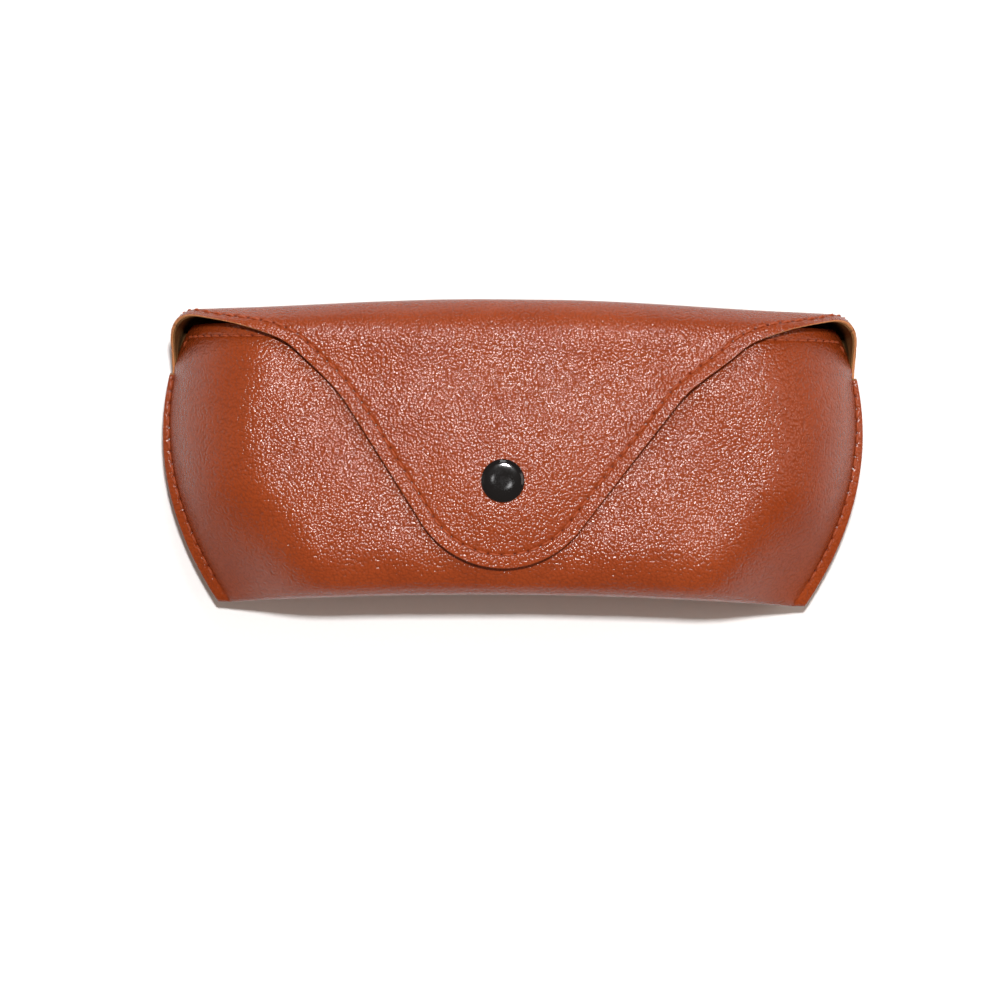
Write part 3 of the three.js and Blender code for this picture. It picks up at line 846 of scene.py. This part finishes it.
def stitch_lines(line, normals, pitch):
    """Centre lines of the stitches along a line of points with normals: arrays of stitches by steps."""
    lengths, starts = stitch_starts(line, pitch)
    share = np.linspace(0, 1, THREAD_STEPS)[None, :]
    wanted = starts[:, None] + pitch * (1 - STITCH_SHARE) / 2 + pitch * STITCH_SHARE * share
    up = unit(sample(normals, lengths, wanted))
    height = lerp(STITCH_DIVE, STITCH_RISE, np.sin(PI * share) ** 0.6)
    return sample(line, lengths, wanted) + up * height[..., None], up


def thread_mesh(centres, up):
    """Vertices and faces of twisted two-ply threads along the centre lines."""
    along = unit(np.gradient(centres, axis=1))
    side = unit(np.cross(along, up))
    top = np.cross(side, along)
    angle = np.linspace(0, 2 * PI, THREAD_SIDES, endpoint=False)
    turn = np.linspace(0, THREAD_TWIST, THREAD_STEPS)
    ply = 1 + THREAD_PLY * np.cos(2 * (angle[None, :] - turn[:, None]))
    ends = np.sqrt(np.sin(np.linspace(0.12, PI - 0.12, THREAD_STEPS)))
    radius = THREAD_RADIUS * ply * ends[:, None]
    ring = side[:, :, None, :] * np.cos(angle)[:, None] + top[:, :, None, :] * np.sin(angle)[:, None]
    vertices = centres[:, :, None, :] + ring * radius[None, :, :, None]
    return vertices.reshape(-1, 3), tube_faces(len(centres))


def tube_faces(count):
    faces = []
    for stitch in range(count):
        first = stitch * THREAD_STEPS * THREAD_SIDES
        last = first + (THREAD_STEPS - 1) * THREAD_SIDES
        for ring in range(first, last, THREAD_SIDES):
            for k in range(THREAD_SIDES):
                here, beside = ring + k, ring + (k + 1) % THREAD_SIDES
                faces.append([here, beside, beside + THREAD_SIDES, here + THREAD_SIDES])
        faces.append([first + k for k in reversed(range(THREAD_SIDES))])
        faces.append([last + k for k in range(THREAD_SIDES)])
    return faces


def stitch_object(name, centres, up, node, looks):
    vertices, faces = thread_mesh(centres, up)
    obj = new_object(name, soften(vertices), faces, [looks["thread"]])
    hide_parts(node)
    return obj


def hem_stitches(looks):
    centres, up = stitch_lines(*HEM_ROW)
    middle = centres[:, THREAD_STEPS // 2]
    x, length = hem_places()
    nearest = ((middle[:, None, :] - HEM_ROW[0][None, :, :]) ** 2).sum(-1).argmin(1)
    on_flap = (length > split_length(x))[nearest]
    flap = stitch_object("flap_stitches", centres[on_flap], up[on_flap], "flap_edge_stitching", looks)
    bend_top(flap)
    for word, sign in (("left", -1), ("right", 1)):
        wing = ~on_flap & (middle[:, 0] * sign > 0)
        node = f"band_edge_stitching_{word}"
        bend_rear(stitch_object(f"hood_stitches_{word}", centres[wing], up[wing], node, looks))


def mouth_stitches(looks):
    obj = stitch_object("mouth_stitches", *stitch_lines(*MOUTH_ROW), "mouth_stitching", looks)
    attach(obj, "pouch")


def seam_stitches(looks):
    """Side seams: stitches on the front layer and their undersides on the back layer."""
    for word, rows in (("left", SEAM_ROWS[:2]), ("right", SEAM_ROWS[2:])):
        front, back = (stitch_lines(*row) for row in rows)
        centres = np.concatenate([front[0], back[0]])
        up = np.concatenate([front[1], back[1]])
        obj = stitch_object(f"seam_stitches_{word}", centres, up, f"side_seam_stitching_{word}", looks)
        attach(obj, "pouch")


# ---- Snap ----

def turned_object(name, profile, look, node, body):
    """A closed solid turned about the snap's axis from radius and height pairs."""
    vertices = []
    for k in range(TURN_SIDES):
        angle = 2 * PI * k / TURN_SIDES
        vertices += [(SNAP_X + r * math.cos(angle), SNAP_Y + r * math.sin(angle), z) for r, z in profile]
    count = len(profile)
    faces = []
    for k in range(TURN_SIDES):
        here, beside = k * count, (k + 1) % TURN_SIDES * count
        faces += [[here + j, beside + j, beside + j + 1, here + j + 1] for j in range(count - 1)]
    obj = new_object(name, vertices, faces, [look])
    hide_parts(node)
    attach(obj, body)


def rounded_profile(corners, radius, steps=5):
    """Rounds the corners of a radius and height outline; its first and last points stay."""
    corners = [np.array(c, float) for c in corners]
    made = [corners[0]]
    for before, corner, after in zip(corners, corners[1:], corners[2:]):
        arms = np.array([before - corner, after - corner])
        reach = min(radius, *np.linalg.norm(arms, axis=1) * 0.45)
        p0, p2 = corner + unit(arms) * reach
        t = np.linspace(0, 1, steps)[:, None]
        made.extend((1 - t) ** 2 * p0 + 2 * (1 - t) * t * corner + t ** 2 * p2)
    return [*made, corners[-1]]


FRONT_AT_SNAP = float(front_point(SNAP_X / root_half_width(SNAP_Y), SNAP_Y, 0)[2])
FLAP_INNER_AT_SNAP = FRONT_AT_SNAP + FLAP_LIFT_SNAP
CAP_SEAT = FLAP_INNER_AT_SNAP + LINING_IN + 0.02
STUD_Z = FRONT_AT_SNAP + 0.05
SOCKET_TOP_Z = FLAP_INNER_AT_SNAP - 0.05


def snap_cap(looks):
    """Domed cap with a rolled rim; its post goes through the flap into the socket."""
    rolled = ((0.5, 0), (0.12, 0.05), (0, 0.3), (0.12, 0.6), (0.45, 0.8))
    rim = [(CAP_RADIUS - inwards, CAP_SEAT + up) for inwards, up in rolled]
    shoulder = CAP_RADIUS - 0.62
    base = CAP_SEAT + CAP_RIM_HEIGHT
    share = np.cos(np.linspace(0.0, PI / 2, 26))
    crown = CAP_CROWN * (1 - share ** CAP_CROWN_POWER) ** (1 / CAP_CROWN_POWER)
    dome = list(zip(shoulder * share, base + crown))
    post_end = STUD_Z + 1.9
    post = [(0, post_end), (POST_RADIUS, post_end), (POST_RADIUS, CAP_SEAT)]
    turned_object("snap_dome", rounded_profile(post, 0.2) + rim + dome, looks["snap_cap"],
                  "snap_cap", "flap")


def snap_socket(looks):
    bottom = STUD_Z + 0.7
    plate = SOCKET_TOP_Z - 0.4
    mouth = SOCKET_MOUTH_RADIUS
    outline = [(HOLE_RADIUS, SOCKET_TOP_Z), (SOCKET_RADIUS - 0.1, SOCKET_TOP_Z), (SOCKET_RADIUS, plate),
               (SOCKET_RADIUS - 0.5, bottom), (mouth, bottom), (mouth, bottom + 0.3),
               (mouth + 1.1, bottom + 0.4), (mouth + 1.1, plate), (HOLE_RADIUS, plate),
               (HOLE_RADIUS, SOCKET_TOP_Z)]
    turned_object("snap_socket_ring", rounded_profile(outline, 0.16), looks["metal"],
                  "snap_socket", "flap")


def snap_ring_spring(looks):
    wire = 0.16
    centre_z = (STUD_Z + 1.1 + SOCKET_TOP_Z - 0.4) / 2
    centre = SOCKET_MOUTH_RADIUS + 0.4
    angle = np.linspace(0, 2 * PI, 13)
    ring = [(centre + wire * math.cos(t), centre_z + wire * math.sin(t)) for t in angle]
    turned_object("snap_spring_wire", ring, looks["metal"], "snap_ring_spring", "flap")


def snap_stud(looks):
    hole = POST_RADIUS + 0.1
    heights = [(hole, 0), (STUD_RADIUS, 0), (STUD_RADIUS - 0.2, 0.4), (1.75, 0.45), (1.6, 0.8),
               (1.8, 1.25), (1.5, 1.6), (0, 1.6), (0, 1.3), (hole, 1.1), (hole, 0)]
    outline = [(radius, STUD_Z + height) for radius, height in heights]
    turned_object("snap_stud_button", rounded_profile(outline, 0.2), looks["metal"],
                  "snap_stud", "pouch")


def snap_stud_post(looks):
    washer = FRONT_AT_SNAP - LINING_IN - 0.05
    outline = [(0, washer - 0.5), (STUD_RADIUS - 0.3, washer - 0.5), (STUD_RADIUS, washer - 0.2),
               (STUD_RADIUS - 0.1, washer), (POST_RADIUS, washer), (POST_RADIUS, STUD_Z + 0.7),
               (0, STUD_Z + 0.7)]
    turned_object("snap_stud_rivet", rounded_profile(outline, 0.15), looks["metal"],
                  "snap_stud_post", "pouch")


# ---- Materials ----

GRAIN_SIZE = 0.64  # pebble spacing and height, mm
GRAIN_HEIGHT = 0.17
FINE_GRAIN_SIZE = 0.33


class Shader:
    """A material's node tree, with short ways to add and link nodes."""

    def __init__(self, name):
        self.material = bpy.data.materials.new(name)
        self.material.use_nodes = True
        self.tree = self.material.node_tree
        self.tree.nodes.clear()

    def add(self, kind, inputs=(), output=0, **settings):
        node = self.tree.nodes.new(kind)
        for key, value in settings.items():
            setattr(node, key, value)
        for key, value in dict(inputs).items():
            if isinstance(value, bpy.types.NodeSocket):
                self.tree.links.new(value, node.inputs[key])
            else:
                node.inputs[key].default_value = value
        return node.outputs[output]

    def rest(self):
        return self.attribute("rest_mm", 1)

    def attribute(self, name, output):
        return self.add("ShaderNodeAttribute", output=output, attribute_name=name,
                        attribute_type="GEOMETRY")

    def noise(self, place, size, detail=3.0, rough=0.55, distortion=0.0):
        """Noise with features of about size mm, from 0 to 1."""
        return self.add("ShaderNodeTexNoise", {"Vector": place, "Scale": 1 / size, "Detail": detail,
                                               "Roughness": rough, "Distortion": distortion})

    def voronoi(self, place, size):
        """Distance from the nearest of scattered points about size mm apart, as a share of size."""
        return self.add("ShaderNodeTexVoronoi", {"Vector": place, "Scale": 1 / size})

    def maths(self, operation, first, second=0.0):
        return self.add("ShaderNodeMath", {0: first, 1: second}, operation=operation)

    def ramp(self, value, low, high, out_low=0.0, out_high=1.0):
        return self.add("ShaderNodeMapRange", {"Value": value, "From Min": low, "From Max": high,
                                               "To Min": out_low, "To Max": out_high},
                        interpolation_type="SMOOTHSTEP")

    def mix(self, share, first, second, mode="MIX"):
        return self.add("ShaderNodeMix", {0: share, 6: first, 7: second}, 2,
                        data_type="RGBA", blend_type=mode)

    def warp(self, place, size, amount):
        """The place shifted by noise, so that patterns lose their regularity."""
        shift = self.add("ShaderNodeTexNoise", {"Vector": place, "Scale": 1 / size, "Detail": 2.0}, 1)
        centred = self.add("ShaderNodeVectorMath", {0: shift, 1: (0.5, 0.5, 0.5)}, operation="SUBTRACT")
        scaled = self.add("ShaderNodeVectorMath", {0: centred, "Scale": amount}, operation="SCALE")
        return self.add("ShaderNodeVectorMath", {0: place, 1: scaled}, operation="ADD")

    def bump(self, height, distance, strength=1.0, under=None):
        inputs = {"Height": height, "Distance": distance * MM, "Strength": strength}
        if under is not None:
            inputs["Normal"] = under
        return self.add("ShaderNodeBump", inputs)

    def finish(self, **inputs):
        names = {key.replace("_", " "): value for key, value in inputs.items()}
        shader = self.add("ShaderNodeBsdfPrincipled", names)
        output = self.tree.nodes.new("ShaderNodeOutputMaterial")
        self.tree.links.new(shader, output.inputs["Surface"])
        return self.material


def srgb(red, green, blue, alpha=1.0):
    """A colour given as 0 to 255 screen values."""
    def linear(value):
        value /= 255
        return value / 12.92 if value <= 0.04045 else ((value + 0.055) / 1.055) ** 2.4
    return (linear(red), linear(green), linear(blue), alpha)


def pebbles(s, place):
    """The leather's relief, and how far each place lies from the top of its pebble."""
    away = s.voronoi(s.warp(place, 1.5, 0.3), GRAIN_SIZE)
    fall = s.maths("MULTIPLY", away, away)
    fine_away = s.voronoi(s.warp(place, 0.6, 0.2), FINE_GRAIN_SIZE)
    fine_fall = s.maths("MULTIPLY", fine_away, fine_away)
    strength = s.ramp(s.noise(place, 8.0, 3.0), 0.3, 0.7, 0.82, 1.0)
    coarse = s.bump(s.maths("SUBTRACT", 1.0, fall), GRAIN_HEIGHT, strength)
    medium = s.bump(s.maths("SUBTRACT", 1.0, fine_fall), 0.03, 0.8, coarse)
    return s.bump(s.noise(place, 0.14, 3.0), 0.006, 0.5, medium), fall


def leather_gloss(s, place):
    """Weaker on slopes that face away, and in the pouch's lower corners."""
    facing = s.add("ShaderNodeLayerWeight", {"Blend": 0.5}, output=1)
    x = s.add("ShaderNodeSeparateXYZ", {0: place})
    across = s.ramp(s.maths("ABSOLUTE", x), 45, 74)
    down = s.ramp(s.maths("MULTIPLY", x.node.outputs[1], -1.0), -4, 20)
    matt = s.maths("MULTIPLY", across, down)
    return s.maths("MULTIPLY", s.ramp(facing, 0.25, 0.8, 0.36, 0.1), s.ramp(matt, 0, 1, 1.0, 0.3))


def leather_material():
    """Pebbled leather: cloudy colour, darker in the creases and in the needle holes, where shade is painted
    into the colour.
    """
    s = Shader("pebbled_leather")
    place = s.rest()
    relief, fall = pebbles(s, place)
    cloud = s.noise(place, 24.0, 4.0)
    base = s.mix(s.ramp(cloud, 0.3, 0.75), srgb(132, 53, 20), srgb(141, 59, 23))
    # Painted shade: the creases between the pebbles are coloured darker, down to 0.86 of the base colour.
    shade = s.ramp(fall, 0.1, 0.45, 1.0, 0.86)
    crease_shade_rgb = s.add("ShaderNodeCombineColor", {0: shade, 1: shade, 2: shade})
    pebbled = s.mix(1.0, base, crease_shade_rgb, "MULTIPLY")
    # Painted shade: a dark brown is mixed in at the needle holes and, more faintly, along the stitch
    # channels.
    hole = s.attribute("needle_hole", 2)
    colour = s.mix(s.ramp(hole, 0.1, 0.7), pebbled, srgb(84, 27, 13))
    return s.finish(Base_Color=colour, Roughness=s.ramp(cloud, 0.2, 0.8, 0.19, 0.23),
                    Specular_IOR_Level=leather_gloss(s, place), Normal=relief)


def backing_material():
    """The leather's woven backing, seen only where a sheet's underside shows."""
    s = Shader("leather_backing")
    fibres = s.noise(s.rest(), 0.3, 4.0)
    colour = s.mix(fibres, srgb(120, 82, 52), srgb(150, 108, 74))
    return s.finish(Base_Color=colour, Roughness=0.95, Specular_IOR_Level=0.05,
                    Normal=s.bump(fibres, 0.05, 0.6))


def cut_edge_material():
    """Raw cut edge: a pale fibrous core."""
    s = Shader("cut_edge")
    fibres = s.noise(s.rest(), 0.22, 4.0)
    colour = s.mix(s.ramp(fibres, 0.35, 0.7), srgb(186, 118, 72), srgb(212, 150, 102))
    return s.finish(Base_Color=colour, Roughness=0.8, Specular_IOR_Level=0.1,
                    Normal=s.bump(fibres, 0.04, 0.7))


def lining_material():
    """Brushed nap: short fibres and hand-brushed patches."""
    s = Shader("brushed_lining")
    place = s.rest()
    fibres = s.noise(place, 0.25, 4.0, 0.7)
    brushed = s.noise(place, 7.0, 3.0, 0.6, 0.8)
    colour = s.mix(s.ramp(brushed, 0.35, 0.65), srgb(98, 66, 38), srgb(124, 88, 52))
    speckled = s.mix(s.ramp(fibres, 0.3, 0.7), colour, srgb(142, 104, 64))
    return s.finish(Base_Color=speckled, Roughness=1.0, Specular_IOR_Level=0.03,
                    Normal=s.bump(fibres, 0.1, 0.8))


def thread_material():
    """Twisted polyester thread, slightly glossy on its plies."""
    s = Shader("sewing_thread")
    fibres = s.noise(s.rest(), 0.08, 3.0)
    colour = s.mix(fibres, srgb(128, 50, 22), srgb(166, 78, 40))
    return s.finish(Base_Color=colour, Roughness=0.6, Specular_IOR_Level=0.3,
                    Normal=s.bump(fibres, 0.02, 0.6))


def snap_cap_material():
    """Glossy black lacquer with faint handling marks."""
    s = Shader("black_lacquer")
    marks = s.noise(s.rest(), 1.2, 5.0, 0.65)
    return s.finish(Base_Color=srgb(12, 12, 13), Roughness=s.ramp(marks, 0.3, 0.75, 0.05, 0.08),
                    Normal=s.bump(marks, 0.004, 0.3))


def metal_material():
    """Plated sheet metal with a faint turned grain."""
    s = Shader("plated_metal")
    grain = s.noise(s.rest(), 0.3, 4.0, 0.7)
    colour = s.mix(grain, srgb(176, 170, 158), srgb(206, 200, 188))
    return s.finish(Base_Color=colour, Metallic=1.0, Roughness=s.ramp(grain, 0.3, 0.7, 0.24, 0.4),
                    Normal=s.bump(grain, 0.01, 0.4))


def floor_material():
    s = Shader("studio_floor")
    place = s.add("ShaderNodeTexCoord", output=3)
    paper = s.add("ShaderNodeTexNoise", {"Vector": place, "Scale": 900.0, "Detail": 2.0})
    colour = s.mix(paper, (0.80, 0.80, 0.80, 1), (0.83, 0.83, 0.83, 1))
    return s.finish(Base_Color=colour, Roughness=0.9, Specular_IOR_Level=0.1)


def make_materials():
    return {
        "leather": [leather_material(), backing_material(), cut_edge_material()],
        "lining": 3 * [lining_material()],
        "thread": thread_material(),
        "snap_cap": snap_cap_material(),
        "metal": metal_material(),
    }


# ---- Stage, lights and camera ----

FLOOR_HALF = 1.6
LIGHT_TARGET = (0, 0, 0.02)


def make_floor():
    corners = ((-1, -1), (1, -1), (1, 1), (-1, 1))
    vertices = [(x * FLOOR_HALF, y * FLOOR_HALF, 0) for x, y in corners]
    mesh = bpy.data.meshes.new("floor")
    mesh.from_pydata(vertices, [], [[0, 1, 2, 3]])
    mesh.materials.append(floor_material())
    floor = bpy.data.objects.new("floor", mesh)
    floor.location.z = -0.00005
    bpy.context.scene.collection.objects.link(floor)


def area_light(name, location, size, energy, colour=(1, 1, 1)):
    data = bpy.data.lights.new(name, "AREA")
    data.shape = "RECTANGLE"
    data.size, data.size_y = size
    data.energy = energy
    data.color = colour
    light = bpy.data.objects.new(name, data)
    light.location = location
    aim = Vector(LIGHT_TARGET) - Vector(location)
    light.rotation_euler = aim.to_track_quat("-Z", "Y").to_euler()
    bpy.context.scene.collection.objects.link(light)


def make_lights():
    area_light("key_softbox", (0.03, 0.19, 1.15), (0.06, 0.06), 13.8)
    area_light("back_softbox", (0.0, 0.8, 0.9), (0.25, 0.12), 2.8)
    area_light("right_softbox", (0.9, 0.1, 0.8), (0.5, 0.5), 3.2, (1.0, 0.9, 0.82))
    area_light("left_softbox", (-1.0, 0.05, 0.4), (0.5, 0.4), 0.6, (1.0, 0.9, 0.8))
    area_light("left_spot", (-0.05, 0.01, 1.15), (0.02, 0.02), 0.015)
    area_light("right_spot", (0.025, -0.02, 1.15), (0.02, 0.02), 0.015)


def make_world():
    world = bpy.data.worlds.new("studio")
    world.use_nodes = True
    light = world.node_tree.nodes["Background"].inputs
    light["Color"].default_value = (1, 0.8, 0.68, 1)
    light["Strength"].default_value = 0.26
    bpy.context.scene.world = world


CAMERA_HEIGHT = 1.1
VIEW_WIDTH = 0.2357  # across the picture, 10 mm above the floor
VIEW_CENTRE = (-0.0029, -0.0111)
OBJECT_TURN = math.radians(0.46)  # the case lies turned a little, which the camera makes up for
SENSOR = 36.0


def make_camera():
    data = bpy.data.cameras.new("camera")
    data.sensor_width = SENSOR
    data.lens = SENSOR * (CAMERA_HEIGHT - SEAM_Z * MM) / VIEW_WIDTH
    data.clip_end = 10
    camera = bpy.data.objects.new("camera", data)
    camera.location = (*VIEW_CENTRE, CAMERA_HEIGHT)
    camera.rotation_euler = (0, 0, OBJECT_TURN)
    bpy.context.scene.collection.objects.link(camera)
    bpy.context.scene.camera = camera


# ---- The case ----

def build_case(looks):
    for make in (pouch_leather, pouch_lining, hood_leather, hood_lining, flap_leather, flap_lining,
                 hem_stitches, mouth_stitches, seam_stitches,
                 snap_cap, snap_socket, snap_ring_spring, snap_stud, snap_stud_post):
        make(looks)


make_camera()
make_floor()
make_lights()
make_world()
bpy.context.scene.view_settings.view_transform = "Standard"
build_case(make_materials())
